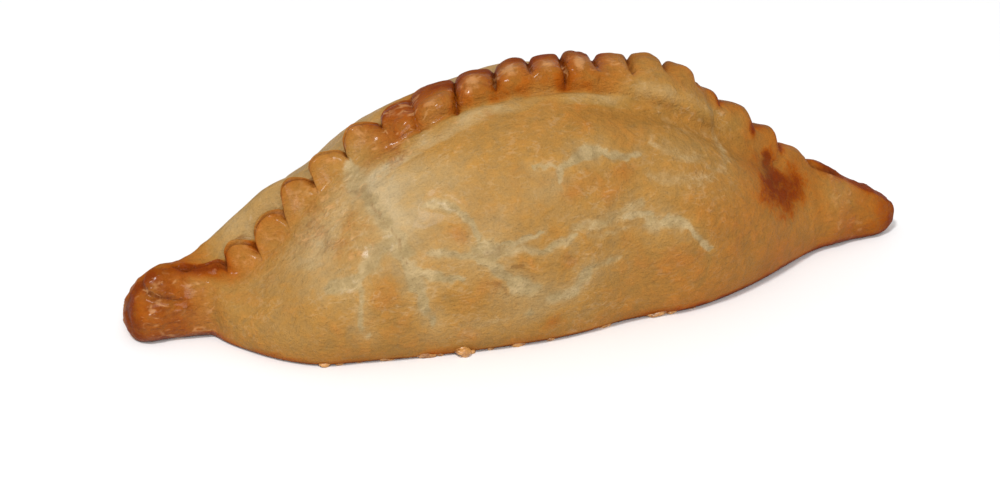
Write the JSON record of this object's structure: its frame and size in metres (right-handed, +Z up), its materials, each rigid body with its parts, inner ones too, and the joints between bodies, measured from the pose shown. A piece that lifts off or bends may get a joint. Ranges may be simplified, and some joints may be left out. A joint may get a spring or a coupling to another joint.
{
  "type": "empanada",
  "caption": "Large baked hand pie with a flat base, a domed filled body, a rope-crimped seam along its top and a drawn-out end on either side.",
  "frame": {"origin": "centre of the bounding box, on the surface that the pie rests on", "axes": "+X along the crimped seam from the blunt end towards the pointed end, -Y the front, +Z up"},
  "size_m": [0.21, 0.0819, 0.0607],
  "materials": {
    "crust": null
  },
  "bodies": {
    "root": {"pastry": "crust"}
  },
  "joints": []
}
